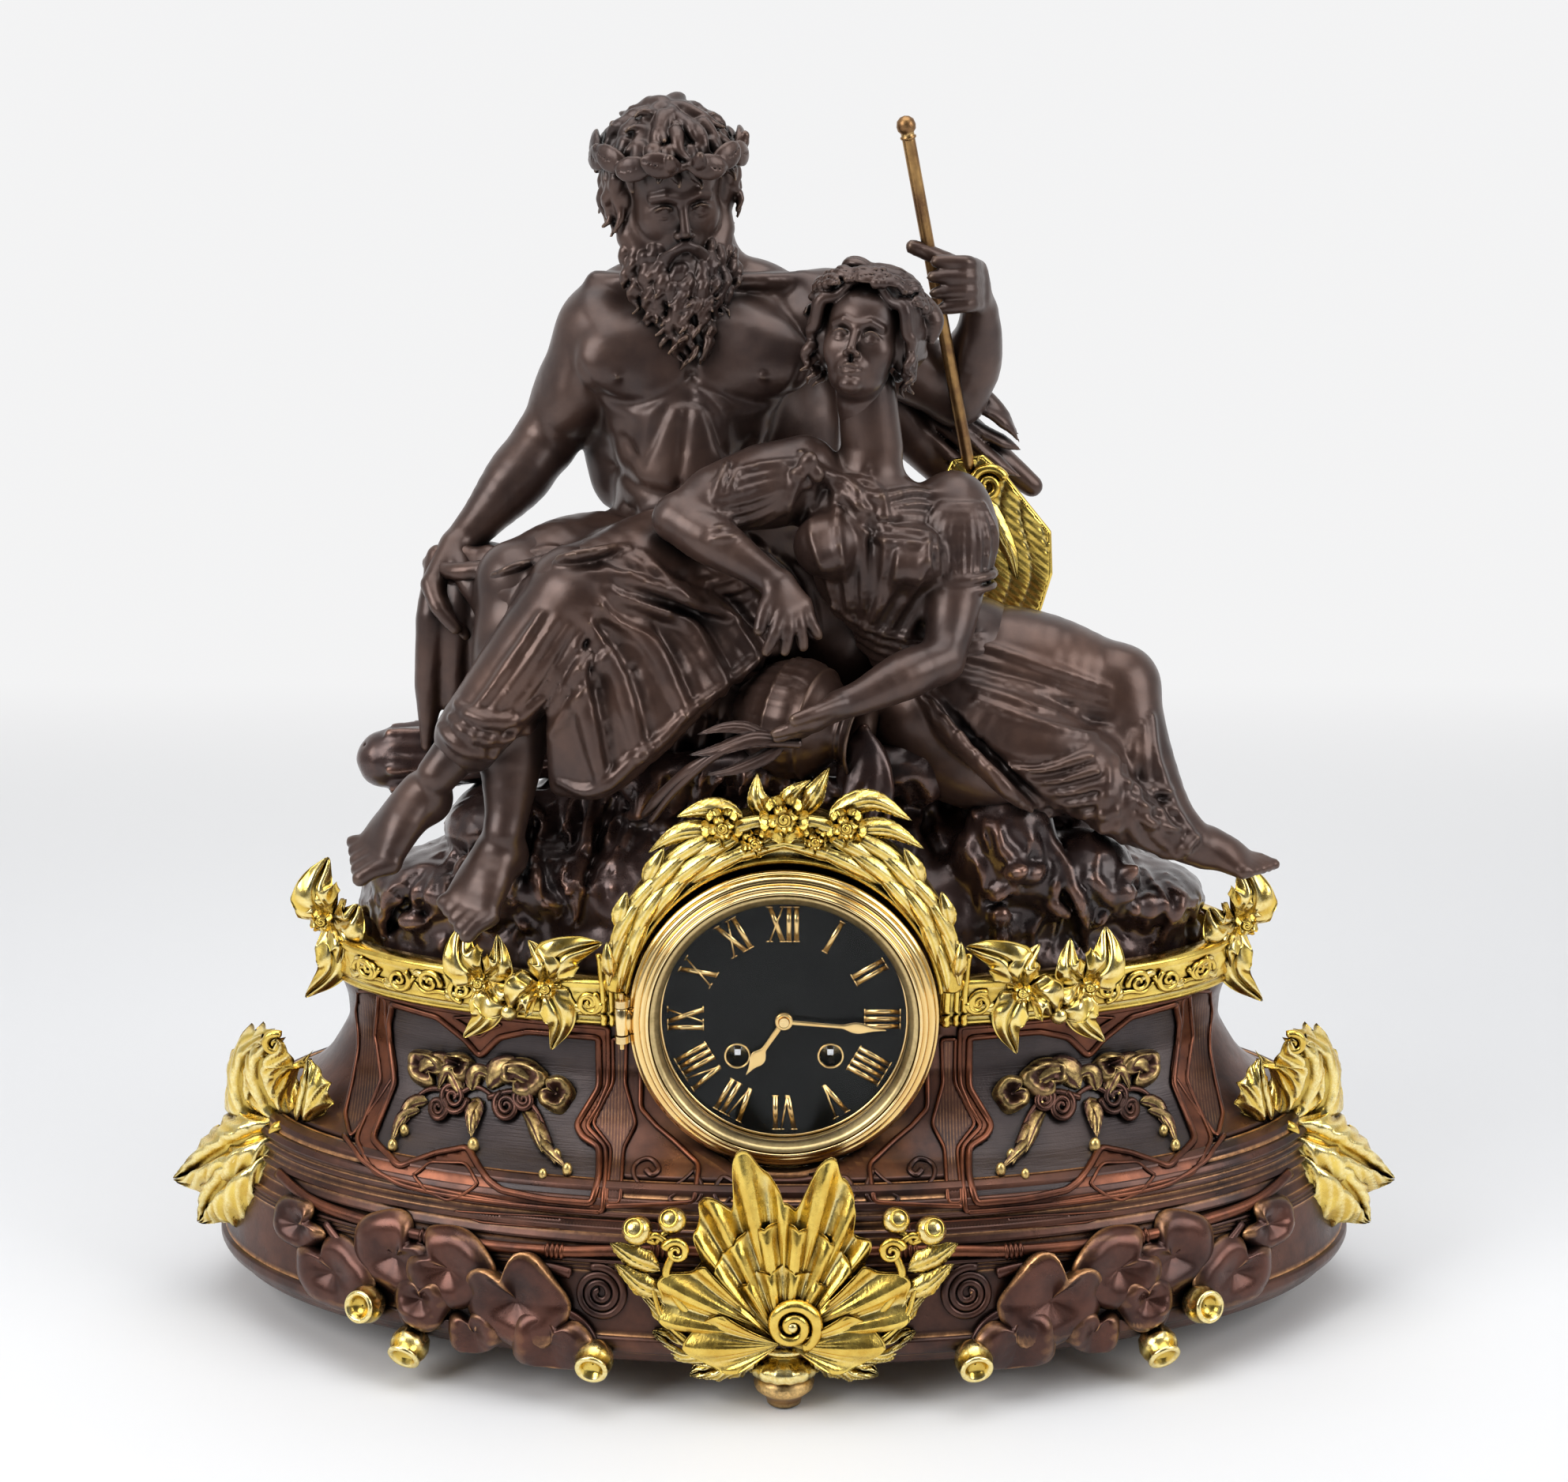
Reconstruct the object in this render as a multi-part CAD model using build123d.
from build123d import *
import os
from math import atan2, cos, degrees, hypot, pi, radians, sin, sqrt

# Figural mantel clock: a bearded river god and a nymph rest on a rock above an oval case.
# Millimetres, +Z up, the viewer looks along +Y, and the clock stands on z = 0.

# Oval case
base_half_width = 239.0
base_half_depth = 108.0
case_top = 200.0
plinth_spread = 68.0
plinth_depth_spread = 62.0
case_wall = 6.0
foot_height = 22.0
frieze_bottom = 176.0
frieze_reach = 5.0
fit_gap = 0.3
overrun = 2.0

# Dial, drum and its rings
dial_height = 187.0
dial_stand_off = 18.0
dial_front = -(base_half_depth + dial_stand_off)
dial_radius = 64.0
dial_thickness = 1.2
bezel_outer_radius = 76.0
bezel_sight_radius = 61.0
bezel_depth = 12.0
glass_thickness = 2.5
seat_ring_radius = 74.0
seat_ring_bore = 58.5
seat_ring_depth = 6.0
drum_radius = 57.5
drum_wall = 1.2
drum_length = 66.0
rear_face = base_half_depth
rear_opening_radius = 66.0
door_thickness = 2.0
rear_ring_radius = 72.0
rear_ring_bore = 60.0
rear_ring_depth = 12.0
rear_flange = 3.0
door_clearance = 1.5
strap_thickness = 1.6
strap_width = 9.0
hinge_pin_radius = 1.2
hinge_length = 14.0
hinge_reach = 3.6

# Movement plates and arbors
plate_radius = 54.0
plate_thickness = 2.5
plate_spacing = 30.0
dial_to_plate = 14.0
pillar_radius = 3.0
winding_x = 23.0
winding_drop = 19.0
pallet_height = 41.5
arbor_radius = 1.0
pivot_clearance = 0.05
square_side = 3.0
square_length = 6.0
key_hole_radius = 6.0

# Tooth counts and modules of the two trains and the motion work
barrel_teeth = 84
second_teeth = 72
centre_teeth = 80
third_teeth = 75
escape_teeth = 36
pin_teeth = 60
lock_teeth = 56
big_pinion_leaves = 12
small_pinion_leaves = 8
cannon_teeth = 14
minute_teeth = 42
minute_pinion_leaves = 12
hour_teeth = 48
barrel_module = 0.52
second_module = 0.40
centre_module = 0.38
third_module = 0.34
lock_module = 0.36
minute_module = 0.42
hour_module = 0.392
addendum_share = 1.0
pinion_addendum_share = 0.8
dedendum_share = 1.3
wheel_thickness = 1.0
barrel_wall_radius = 20.0
escape_radius = 8.5
bell_radius = 30.0
bell_wall = 1.2
pendulum_length = 159.0
bob_radius = 19.0
bob_thickness = 8.0
pendulum_slot = 14.0
hammer_spot = (-40.0, 16.0)

# Stations of wheels and pinions, from the inner face of the front plate
barrel_station = 3.0
barrel_length = 21.0
first_pinion_station = 1.5
first_pinion_length = 2.5
pinion_length = 2.0
train_station = 25.0
train_pinion_station = 24.5
centre_wheel_station = 27.0
third_pinion_station = 26.5
third_wheel_station = 12.0
escape_pinion_back = 13.5
escape_wheel_back = 22.0
lock_wheel_station = 5.0
fly_pinion_back = 6.5
fly_blade_station = 13.0
fly_blade_width = 11.0
fly_blade_length = 9.0
fly_blade_thickness = 0.8

# Motion work in front of the plate, and the hands in front of the dial
motion_gap = 0.5
minute_wheel_step = 0.5
minute_pinion_step = 1.5
hour_wheel_step = 2.5
hour_pipe_step = 3.0
stud_length = 4.5
hand_outline_shares = ((0.167, 0.0), (0.167, 0.55), (0.5, 0.72), (0.167, 0.9), (0.0, 1.0))
hand_thickness = 0.8
minute_hand_length = 50.0
minute_hand_width = 5.0
minute_hub_radius = 3.4
minute_pipe_radius = 1.6
minute_pipe_rise = 4.6
minute_blade_rise = 3.4
hand_cap_radius = 2.4
hand_cap_rise = 6.2
hand_cap_height = 2.0
hour_hand_length = 33.0
hour_hand_width = 7.0
hour_hub_radius = 4.4
hour_pipe_radius = 2.3
hour_pipe_rise = 3.0
hour_blade_rise = 2.2
minute_turn = -95.0
hour_turn = -214.0

# Anchor, crutch and pendulum behind the back plate
anchor_arm_length = 10.0
anchor_arm_height = 1.6
anchor_arm_thickness = 1.0
anchor_arm_side = 4.6
anchor_arm_drop = 2.6
anchor_arm_slope = 32.0
anchor_back = 21.5
anchor_arbor_reach = 8.0
crutch_setback = 6.0
crutch_width = 2.0
crutch_thickness = 1.2
crutch_length = 42.0
fork_drop = 41.0
fork_width = 5.2
fork_length = 6.0
fork_height = 2.0
fork_gap = 2.3
pendulum_setback = 11.0
rod_radius = 0.9
rod_drop = 6.0
spring_width = 3.0
spring_thickness = 0.3
spring_height = 4.0
spring_block_width = 5.0
spring_block_height = 4.0
spring_block_rise = 0.5
cock_width = 9.0
cock_length = 14.0
cock_height = 5.0
cock_rise = 4.0
cheek_width = 4.0
cheek_height = 1.2
cheek_rise = 0.9
cock_foot_width = 16.0
cock_foot_height = 13.0

# Bell, its stand and the hammer
bell_setback = 26.0
bell_drop = 4.0
bell_post_radius = 2.0
bell_post_side = 12.0
bell_bar_length = 16.0
bell_nut_radius = 4.0
bell_nut_height = 3.0
bell_post_overhang = 6.0
hammer_setback = 33.0
hammer_arm_side = 1.6
hammer_arm_overhang = 4.0
hammer_head_radius = 3.4
hammer_head_length = 9.0
hammer_gap = 1.6

# Knob of the rear door
door_knob_radius = 5.0
door_knob_depth = 9.0
door_knob_inset = 6.0
door_neck_radius = 3.0
door_neck_depth = 4.0

# The sculpture and the mounts are laid out in parts, one forty-third of the group's height
group_height = 430.0
part = group_height / 43

# Case profile from the floor of the frieze to the plinth: height share of case_top, spread share
body_profile_shares = (
    (0.880, 0.0), (0.820, -0.06), (0.750, -0.07), (0.705, 0.0),
    (0.640, 0.12), (0.590, 0.29), (0.550, 0.48), (0.535, 0.63),
)
plinth_profile_shares = (
    (0.535, 0.63), (0.500, 0.735), (0.460, 0.75), (0.400, 0.82),
    (0.360, 0.88), (0.210, 0.97), (0.160, 1.0), (0.110, 0.90),
)
frieze_profile_shares = ((0.880, 0.4), (0.900, 1.0), (0.985, 1.0), (1.0, 0.5))

# Rock: height above the case, half width, half depth, centre x and y, in parts
rock_shares = (
    (0.0, 23.2, 10.2, 0.0, 0.0), (2.2, 22.6, 9.8, 0.0, 0.0), (4.4, 18.5, 9.4, -0.5, 0.2),
    (6.8, 14.0, 8.6, -0.6, 0.8), (9.2, 10.5, 7.0, -1.0, 1.2), (10.4, 6.0, 4.5, 1.0, 1.4),
)
god_seat_shares = ((6.0, 8.0, 6.0, -4.4, 2.0), (12.0, 6.8, 4.8, -4.6, 2.2), (15.6, 5.6, 3.6, -4.8, 2.2))
nymph_seat_shares = ((5.0, 8.2, 5.2, 10.4, -0.4), (9.0, 6.2, 4.2, 10.0, -0.4), (11.6, 4.6, 3.0, 9.6, -0.6))
rock_hollow_share = 0.86
rock_hollow_drop = 10.0

# Sculpture: x, y, height above the case, half width and half thickness, in parts
god_torso_shares = (
    (-4.7, 1.6, 15.2, 4.8, 3.8), (-5.0, 1.4, 19.0, 5.0, 3.9), (-5.4, 0.6, 23.6, 4.3, 3.3),
    (-5.2, 0.3, 27.0, 4.9, 3.7), (-4.4, 0.2, 31.0, 6.3, 4.2), (-4.1, 0.7, 33.8, 5.6, 3.2),
    (-4.2, 0.4, 35.4, 2.9, 2.7), (-4.6, -0.6, 37.0, 2.4, 2.5),
)
god_head_shares = (
    (-4.7, -3.2, 36.0, 1.1, 1.0), (-4.9, -2.5, 37.4, 2.3, 2.5), (-5.3, -1.8, 39.2, 3.0, 3.4),
    (-5.7, -1.3, 41.0, 3.2, 3.6), (-5.9, -1.0, 42.4, 2.5, 2.9), (-6.0, -1.0, 43.2, 1.1, 1.3),
)
god_beard_shares = (
    (-5.0, -3.3, 37.9, 2.3, 1.6), (-4.9, -4.0, 36.0, 2.4, 1.8), (-4.7, -4.5, 33.8, 1.9, 1.4),
    (-4.4, -4.6, 32.0, 1.1, 0.9), (-4.2, -4.5, 30.8, 0.3, 0.3),
)
god_upper_arm_shares = (
    (-8.4, 0.5, 33.4, 2.0, 2.0), (-10.4, 0.6, 31.2, 2.6, 2.5), (-12.2, 1.0, 28.0, 2.3, 2.2),
    (-13.5, 1.4, 25.2, 1.8, 1.8),
)
god_forearm_shares = (
    (-13.3, 1.6, 26.2, 1.5, 1.5), (-14.4, 0.4, 23.6, 2.0, 1.9), (-15.7, -0.7, 21.8, 1.6, 1.5),
    (-16.8, -1.5, 20.5, 1.3, 0.9), (-17.6, -2.5, 18.6, 1.7, 0.9), (-16.9, -3.3, 16.4, 1.1, 0.6),
)
god_left_upper_arm_shares = (
    (0.4, 1.0, 33.4, 2.2, 2.2), (3.4, 1.9, 31.6, 2.4, 2.4), (6.8, 2.8, 29.4, 2.1, 2.1),
    (9.4, 3.2, 27.6, 1.7, 1.7),
)
god_left_forearm_shares = (
    (9.3, 3.2, 26.9, 1.5, 1.5), (9.8, 2.6, 28.8, 1.9, 1.9), (10.1, 1.4, 31.2, 1.4, 1.3),
    (9.7, 0.5, 32.6, 1.6, 1.1), (8.2, -0.5, 33.4, 1.5, 0.9), (6.6, -0.8, 34.2, 0.7, 0.6),
)
god_right_thigh_shares = (
    (-6.6, 0.4, 18.2, 3.2, 3.2), (-10.4, -2.6, 19.2, 3.0, 2.9), (-13.4, -4.9, 18.8, 2.3, 2.2),
)
god_right_shin_shares = (
    (-13.4, -4.8, 19.6, 1.8, 1.8), (-13.5, -5.8, 16.2, 2.3, 2.3), (-13.6, -7.0, 12.6, 2.1, 2.1),
    (-13.8, -8.6, 7.6, 1.3, 1.3), (-14.2, -9.2, 5.4, 1.5, 1.6), (-15.4, -10.4, 3.6, 1.7, 1.0),
    (-16.4, -11.0, 2.3, 1.2, 0.5),
)
god_left_thigh_shares = (
    (-1.6, 0.8, 18.0, 3.5, 3.5), (-5.6, -3.4, 19.0, 3.3, 3.3), (-10.4, -7.3, 19.0, 2.5, 2.5),
)
god_left_shin_shares = (
    (-10.2, -7.2, 20.0, 2.0, 2.0), (-12.0, -8.0, 16.6, 2.5, 2.4), (-14.4, -8.6, 13.6, 2.1, 2.1),
    (-17.0, -9.0, 10.6, 1.3, 1.4), (-18.6, -9.3, 8.2, 1.4, 1.3), (-20.2, -9.6, 6.8, 1.6, 0.9),
    (-21.8, -9.6, 6.3, 1.2, 0.5),
)
god_lap_cloth_shares = (
    (-3.9, -2.2, 18.8, 6.9, 4.3), (-4.8, -3.8, 16.0, 8.2, 5.0), (-6.2, -5.4, 12.4, 7.2, 4.6),
    (-8.4, -7.0, 8.2, 4.2, 2.8),
)
god_side_cloth_shares = (
    (-14.6, -1.8, 19.7, 2.5, 2.7), (-15.9, -1.7, 14.6, 2.6, 2.6), (-16.6, -1.7, 9.4, 2.0, 2.0),
)
god_wreath_shares = ((2.6, -0.6), (3.5, -0.8), (3.8, 0.1), (3.4, 0.9), (2.6, 0.8))
god_wreath_place_share = (-5.8, -1.1, 41.2)
god_wreath_tilt = 12.0
nymph_band_shares = ((2.4, -0.5), (3.3, -0.5), (3.5, 0.4), (2.4, 0.8))
nymph_band_place_share = (3.9, -4.4, 32.2)
nymph_band_tilt = -25.0
god_mantle_shares = (
    (3.0, 4.2, 31.8, 1.2, 2.4), (7.4, 5.0, 27.8, 1.1, 3.0), (10.8, 5.6, 24.6, 1.0, 2.4),
    (14.0, 6.0, 22.2, 0.8, 1.4),
)
nymph_torso_shares = (
    (9.4, -2.8, 12.6, 4.4, 3.4), (8.6, -3.2, 15.0, 4.4, 3.5), (5.8, -4.6, 17.4, 3.1, 2.6),
    (4.6, -5.7, 21.2, 3.8, 2.9), (3.9, -5.1, 24.4, 4.0, 2.2), (3.8, -4.9, 26.0, 1.7, 1.6),
    (3.8, -5.2, 28.2, 1.5, 1.5),
)
nymph_head_shares = (
    (3.7, -6.0, 28.2, 0.9, 0.9), (3.6, -5.6, 29.4, 2.0, 2.2), (3.8, -5.1, 31.2, 2.9, 3.1),
    (3.9, -4.7, 33.0, 2.7, 2.9), (3.8, -4.6, 34.4, 1.3, 1.5),
)
nymph_right_arm_shares = (
    (0.4, -5.3, 24.6, 1.8, 1.8), (-2.4, -6.4, 24.0, 2.0, 1.9), (-5.2, -7.5, 22.6, 1.6, 1.6),
)
nymph_right_forearm_shares = (
    (-5.6, -7.3, 22.9, 1.3, 1.3), (-2.8, -8.8, 21.4, 1.4, 1.4), (-0.4, -9.5, 20.0, 0.9, 0.9),
    (0.3, -9.7, 18.6, 1.2, 0.6), (0.7, -10.0, 17.4, 0.7, 0.4),
)
nymph_left_arm_shares = (
    (7.6, -4.7, 24.0, 1.6, 1.6), (8.4, -5.6, 21.4, 1.9, 1.9), (8.2, -7.0, 18.4, 1.6, 1.6),
    (7.7, -8.5, 15.8, 1.2, 1.2),
)
nymph_left_forearm_shares = (
    (8.2, -8.4, 16.0, 1.1, 1.1), (5.2, -10.0, 15.0, 1.3, 1.2), (2.8, -11.0, 14.2, 0.8, 0.8),
    (1.3, -11.5, 13.5, 1.1, 0.6), (-0.3, -12.0, 12.7, 0.6, 0.4),
)
nymph_skirt_shares = (
    (8.2, -2.6, 13.8, 3.8, 4.2), (13.0, -3.2, 13.8, 3.3, 3.6), (16.6, -3.4, 13.2, 2.6, 2.8),
    (18.2, -3.8, 11.8, 1.4, 1.6),
)
nymph_shin_shares = (
    (17.0, -3.6, 13.8, 2.0, 2.0), (17.6, -5.0, 10.4, 2.3, 2.3), (19.4, -6.4, 7.6, 1.8, 1.7),
    (21.0, -7.0, 6.0, 1.2, 1.1), (22.6, -7.2, 5.2, 1.1, 0.8), (24.6, -7.5, 4.7, 0.8, 0.4),
)
nymph_hem_shares = (
    (7.6, -5.4, 11.6, 3.2, 3.0), (12.0, -6.6, 10.4, 3.2, 2.8), (16.0, -7.2, 8.2, 2.6, 2.2),
    (19.4, -7.4, 6.4, 1.4, 1.2),
)
urn_profile_shares = (
    (-3.2, 0.0), (-3.0, 1.2), (-1.6, 2.7), (0.2, 3.1), (1.6, 2.4),
    (2.4, 1.5), (2.9, 1.4), (3.5, 2.1), (3.7, 0.0),
)
urn_place_share = (0.6, -6.9, 12.6)
urn_direction_share = (0.90, -0.40, -0.16)
water_shares = ((4.1, -8.5, 11.8, 1.4, 1.2), (4.2, -9.0, 10.4, 1.5, 1.0), (3.8, -9.5, 8.4, 1.9, 1.0))
reed_shares = ((-0.1, -11.9, 12.4, 0.35, 0.3), (-2.2, -12.0, 12.5, 0.5, 0.3), (-4.4, -11.9, 12.3, 0.2, 0.2))
stump_shares = ((-21.2, -1.0, 9.2, 1.8, 1.8), (-16.0, -0.4, 9.6, 1.9, 1.9), (-9.0, 0.6, 9.8, 1.8, 1.8))
oar_top_share = (6.1, -2.0, 41.6)
oar_shoulder_share = (9.8, 2.0, 24.2)
oar_shaft_radius = 3.4
oar_blade_shares = (
    (-1.0, 0.0), (-1.5, -1.2), (-0.6, -2.4), (-1.6, -6.2), (3.2, -7.0), (3.5, -3.2), (1.4, -0.6),
)
oar_knob_shares = ((0.0, -1.2), (1.2, -1.0), (1.4, 1.0), (0.0, 1.6))
oar_blade_thickness = 5.0
oar_tenon = 20.0

# Mounts: petals, buds, leaves and curled corner leaves, in parts from the floor of the case
flower_place_shares = ((-23.2, 19.6), (-13.8, 19.0), (13.6, 19.0), (23.2, 19.4))
petal_angle_shares = (0.03, 0.22, 0.36, 0.58, 0.80)
petal_length = 30.0
petal_width = 15.0
petal_thickness = 2.4
petal_outline_shares = ((0.0, -0.2), (0.45, -0.5), (1.0, 0.0), (0.45, 0.5), (0.0, 0.2))
berry_radius = 4.5
berry_depth = 7.2
berry_stem = 4.0
bud_place_shares = (
    (-20.6, 4.5), (-18.4, 2.6), (-9.1, 3.0), (9.4, 3.3), (18.1, 3.3), (19.1, 4.7),
)
bud_radius = 9.5
bud_outline_shares = ((0.0, -1.0), (0.8, -0.5), (1.0, 0.1), (0.6, 1.0), (0.0, 1.0))
bud_spread_share = 0.97
leaf_place_shares = ((-22.4, 5.2), (-15.6, 6.2), (-11.6, 5.0), (11.6, 5.0), (15.6, 6.2), (22.4, 5.2))
leaf_radius = 19.0
leaf_thickness = 5.0
leaf_spread_share = 0.94
acanthus_shares = (
    (28.4, -3.0, 10.9, 1.6, 0.4), (28.0, -4.6, 13.2, 2.2, 0.5), (26.2, -5.6, 15.2, 2.6, 0.4),
    (24.0, -5.0, 13.4, 1.6, 0.3),
)
acanthus_fall_shares = (
    (28.2, -3.4, 10.6, 2.2, 0.5), (30.4, -3.6, 8.8, 3.0, 0.5), (32.4, -2.6, 6.8, 1.8, 0.4),
    (33.4, -2.0, 5.0, 0.4, 0.2),
)
shell_outline_shares = (
    (0.0, 0.0), (3.0, 0.6), (6.0, 3.4), (7.8, 6.6), (5.2, 6.4), (4.2, 8.6), (2.4, 10.8), (1.2, 9.6),
    (-0.8, 10.8), (-1.6, 9.4), (-4.4, 8.8), (-4.6, 6.4), (-8.6, 6.2), (-6.4, 3.2), (-3.0, 0.6),
)
shell_foot_level = 26.0
shell_set_in = 1.5
shell_thickness = 7.0
whorl_radius = 14.0
whorl_relief = 3.0
whorl_height = 32.0
spray_places_share = (-14.9, 14.9)
spray_width = 84.0
spray_height = 9.0
spray_relief = 3.5
spray_steps_shares = ((-1.0, 0.15), (-0.5, 0.65), (0.0, 1.15), (0.5, 0.65), (1.0, 0.15))
spray_level = 141.0
arch_outer_radius = 108.0
arch_depth = 34.0
arch_setback = 5.0
arch_front = dial_front + arch_setback
crown_tip = 14.0
crown_shares = ((-0.86, -0.46), (-0.5, 0.69), (0.0, 0.0), (0.57, -0.08), (1.0, 1.0), (1.57, -0.46))
foot_radius = 15.0
foot_profile_shares = ((0.0, 0.0), (0.5, 0.0), (0.6, 0.2), (1.0, 0.55), (0.7, 0.85), (0.8, 1.0), (0.0, 1.0))
foot_spread_share = 0.945
foot_setback = 36.0

parts = {}
on_floor = (Align.CENTER, Align.CENTER, Align.MIN)


def oval(spread, height, inset=0.0):
    """An ellipse of the case at a height: the frieze's own, widened by a share of the plinth's spread."""
    half_width = base_half_width + plinth_spread * spread - inset
    half_depth = base_half_depth + plinth_depth_spread * spread - inset
    return Plane((0, 0, height)) * Ellipse(half_width, half_depth)


def oval_stack(profile, inset=0.0):
    return loft([oval(spread, case_top * share, inset).face() for share, spread in profile], ruled=True)


def disc_y(radius, front, back, x=0.0, z=dial_height):
    """A cylinder along Y from front to back."""
    length = back - front
    return Pos(x, back, z) * Rot(90, 0, 0) * Cylinder(radius, length, align=on_floor)


def ring_y(radius, bore, front, back, x=0.0, z=dial_height):
    return disc_y(radius, front, back, x, z) - disc_y(bore, front - overrun, back + overrun, x, z)


def place(share):
    """A point of the sculpture: parts across, parts back and parts above the case."""
    return Vector(share[0] * part, share[1] * part, case_top + share[2] * part)


def floor_place(share):
    """A point of the mounts: parts across, parts back and parts above the floor."""
    return Vector(share[0] * part, share[1] * part, share[2] * part)


def chain(rows, where=place, side=Vector(1, 0, 0)):
    """A limb or a fold: a ruled solid through ellipses set square to the line of its centres."""
    centres = [where(row) for row in rows]
    sections = []
    for index, row in enumerate(rows):
        ahead = centres[min(index + 1, len(rows) - 1)]
        behind = centres[max(index - 1, 0)]
        along = (ahead - behind).normalized()
        across = (side - along * side.dot(along)).normalized()
        plane = Plane(origin=centres[index], x_dir=across, z_dir=along)
        sections.append((plane * Ellipse(row[3] * part, row[4] * part)).face())
    return loft(sections, ruled=True)


def stack(rows, share=1.0):
    """A mass built up from level ellipses, all of them drawn in by one share."""
    sections = []
    for height, half_width, half_depth, x, y in rows:
        level = Plane(place((x, y, height)))
        sections.append((level * Ellipse(half_width * part * share, half_depth * part * share)).face())
    return loft(sections, ruled=True)


def largest(shape):
    """The biggest solid of a shape: what is left of a limb once its neighbours are cut away."""
    return max(shape.solids(), key=lambda solid: solid.volume)


def seated(shape, *neighbours):
    """A piece cut to lie against its neighbours, face to face."""
    for neighbour in neighbours:
        shape = shape - neighbour
    return largest(shape)


def tooth_ring(teeth, module, addendum, thickness, bore):
    """A toothed blank with its first tooth on +X: pointed teeth with straight flanks."""
    pitch_radius = module * teeth / 2
    tip = pitch_radius + module * addendum
    root = pitch_radius - module * dedendum_share
    points = []
    for tooth in range(teeth):
        angle = 2 * pi * tooth / teeth
        middle = angle + pi / teeth
        points.append((tip * cos(angle), tip * sin(angle)))
        points.append((root * cos(middle), root * sin(middle)))
    blank = extrude(make_face(Polyline(*points, close=True)), amount=thickness)
    return blank - Pos(0, 0, -overrun) * Cylinder(bore, thickness + 2 * overrun, align=on_floor)


def on_arbor(shape, x, z, y, turn=0.0):
    """Stands a wheel made in XY on an arbor of the movement, its back face at y."""
    return Pos(x, y, dial_height + z) * Rot(90, 0, 0) * Rot(0, 0, turn) * shape


def bearing(start, end):
    return degrees(atan2(end[1] - start[1], end[0] - start[0]))


def meeting_point(first, first_reach, second, second_reach, turn):
    """Where an arbor stands that is first_reach from one arbor and second_reach from another."""
    gap = hypot(second[0] - first[0], second[1] - first[1])
    along = (first_reach ** 2 - second_reach ** 2 + gap ** 2) / (2 * gap)
    off = sqrt(first_reach ** 2 - along ** 2) * turn
    ux = (second[0] - first[0]) / gap
    uz = (second[1] - first[1]) / gap
    return (first[0] + along * ux - off * uz, first[1] + along * uz + off * ux)


def polar(start, reach, angle):
    return (start[0] + reach * cos(radians(angle)), start[1] + reach * sin(radians(angle)))


# Case


def strap(side, clearance=0.0):
    """A flat bar beside the drum that draws the front and rear rings together."""
    front = dial_front + dial_thickness + seat_ring_depth
    x = side * (drum_radius + fit_gap + strap_thickness)
    y = (front + rear_face - rear_ring_depth) / 2
    size = (strap_thickness + clearance, rear_face - rear_ring_depth - front, strap_width + clearance)
    return Pos(x, y, dial_height) * Box(*size)


def make_case():
    collar_front = dial_front + dial_thickness + seat_ring_depth
    outer = oval_stack(body_profile_shares)
    inner = oval_stack(body_profile_shares, case_wall)
    core = disc_y(bezel_outer_radius, collar_front, -base_half_depth + 2 * case_wall)
    below = Box(4 * bezel_outer_radius, 4 * base_half_depth, frieze_bottom, align=on_floor)
    low_core = core & below
    body = outer - inner
    body = body + low_core
    body = body - disc_y(drum_radius + fit_gap, -2 * base_half_depth, 0)
    body = body - disc_y(bezel_outer_radius + fit_gap, -2 * base_half_depth, collar_front)
    body = body - disc_y(rear_opening_radius, 0, 2 * base_half_depth)
    body = body - disc_y(rear_ring_radius + door_clearance, rear_face, 2 * base_half_depth)
    for side in (-1, 1):
        body = body - strap(side, 2 * fit_gap)
    parts["case_body"] = largest(body)
    plinth = oval_stack(plinth_profile_shares) - oval_stack(plinth_profile_shares, case_wall)
    parts["plinth"] = largest(plinth)
    reach = frieze_reach / plinth_spread
    rows = [(share, spread * reach) for share, spread in frieze_profile_shares]
    band = oval_stack(rows) - oval_stack(rows, 2 * case_wall)
    band = band - disc_y(bezel_outer_radius + fit_gap, -2 * base_half_depth, 0)
    band = band - disc_y(rear_opening_radius, 0, 2 * base_half_depth)
    band = band - disc_y(rear_ring_radius + door_clearance, rear_face, 2 * base_half_depth)
    parts["top_frieze"] = Compound(children=band.solids())


def make_feet():
    points = [(radius * foot_radius, height * foot_height) for radius, height in foot_profile_shares]
    foot = revolve(Plane.XZ * make_face(Polyline(*points, close=True)), Axis.Z)
    rim_share = plinth_profile_shares[-1][1]
    spread = base_half_depth + plinth_depth_spread * rim_share - case_wall / 2
    width = base_half_width + plinth_spread * rim_share - case_wall / 2
    front = Pos(0, -spread, 0) * foot
    left = Pos(-width * foot_spread_share, foot_setback, 0) * foot
    right = Pos(width * foot_spread_share, foot_setback, 0) * foot
    parts["feet"] = Compound(children=[front.solid(), left.solid(), right.solid()])


def make_rock():
    rock = stack(rock_shares) + stack(god_seat_shares) + stack(nymph_seat_shares)
    hollow = Pos(0, 0, -rock_hollow_drop) * stack(rock_shares, rock_hollow_share)
    collar_front = dial_front + dial_thickness + seat_ring_depth
    rock = rock - hollow
    rock = rock - disc_y(bezel_outer_radius + fit_gap, collar_front, -base_half_depth / 2)
    rock = rock - disc_y(rear_opening_radius, 0, 2 * base_half_depth)
    rock = rock - disc_y(drum_radius + fit_gap, -base_half_depth, 0)
    parts["rock_mound"] = largest(rock)
    stump = chain(stump_shares, side=Vector(0, 1, 0))
    parts["tree_stump"] = seated(stump, parts["rock_mound"])


# Dial, hands and movement


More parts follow.
